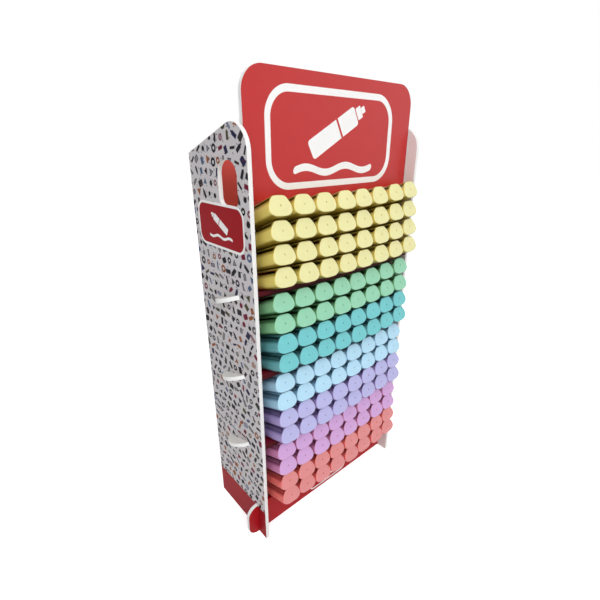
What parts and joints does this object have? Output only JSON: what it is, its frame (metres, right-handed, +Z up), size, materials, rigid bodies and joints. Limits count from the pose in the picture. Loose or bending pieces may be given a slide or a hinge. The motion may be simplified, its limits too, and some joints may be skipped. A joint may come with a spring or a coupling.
{
  "type": "cardboard display stand",
  "caption": "Counter display stand of slotted boards with four sloping shelves, filled with rows of capped highlighter pens.",
  "frame": {"origin": "on the floor, below the middle of the object's outline", "axes": "+Z up, +Y from the open front to the back panel, +X to the right seen from the front"},
  "size_m": [0.2496, 0.113, 0.4775],
  "materials": {
    "side_print": "satin print on white board",
    "red_print": "satin print on white board",
    "back_board": "plain white board, red front face",
    "shelf_board": "satin print on white board",
    "pen_yellow": "moulded, semi gloss",
    "pen_green": "moulded, semi gloss",
    "pen_turquoise": "moulded, semi gloss",
    "pen_blue": "moulded, semi gloss",
    "pen_lilac": "moulded, semi gloss",
    "pen_pink": "moulded, semi gloss",
    "pen_coral": "moulded, semi gloss"
  },
  "bodies": {
    "root": {"side_panel_left": "side_print", "side_panel_right": "side_print", "header_panel": "red_print", "kick_panel": "red_print", "back_panel": "back_board", "shelf_1": "shelf_board", "shelf_2": "shelf_board", "shelf_3": "shelf_board", "shelf_4": "shelf_board", "caps_row_01": "pen_yellow", "barrels_row_01": "pen_yellow", "caps_row_02": "pen_yellow", "barrels_row_02": "pen_yellow", "caps_row_03": "pen_yellow", "barrels_row_03": "pen_yellow", "caps_row_04": "pen_yellow", "barrels_row_04": "pen_yellow", "caps_row_05": "pen_green", "barrels_row_05": "pen_green", "caps_row_06": "pen_green", "barrels_row_06": "pen_green", "caps_row_07": "pen_turquoise", "barrels_row_07": "pen_turquoise", "caps_row_08": "pen_turquoise", "barrels_row_08": "pen_turquoise", "caps_row_09": "pen_blue", "barrels_row_09": "pen_blue", "caps_row_10": "pen_blue", "barrels_row_10": "pen_blue", "caps_row_11": "pen_lilac", "barrels_row_11": "pen_lilac", "caps_row_12": "pen_lilac", "barrels_row_12": "pen_lilac", "caps_row_13": "pen_pink", "barrels_row_13": "pen_pink", "caps_row_14": "pen_pink", "barrels_row_14": "pen_pink", "caps_row_15": "pen_coral", "barrels_row_15": "pen_coral", "caps_row_16": "pen_coral", "barrels_row_16": "pen_coral"}
  },
  "joints": []
}
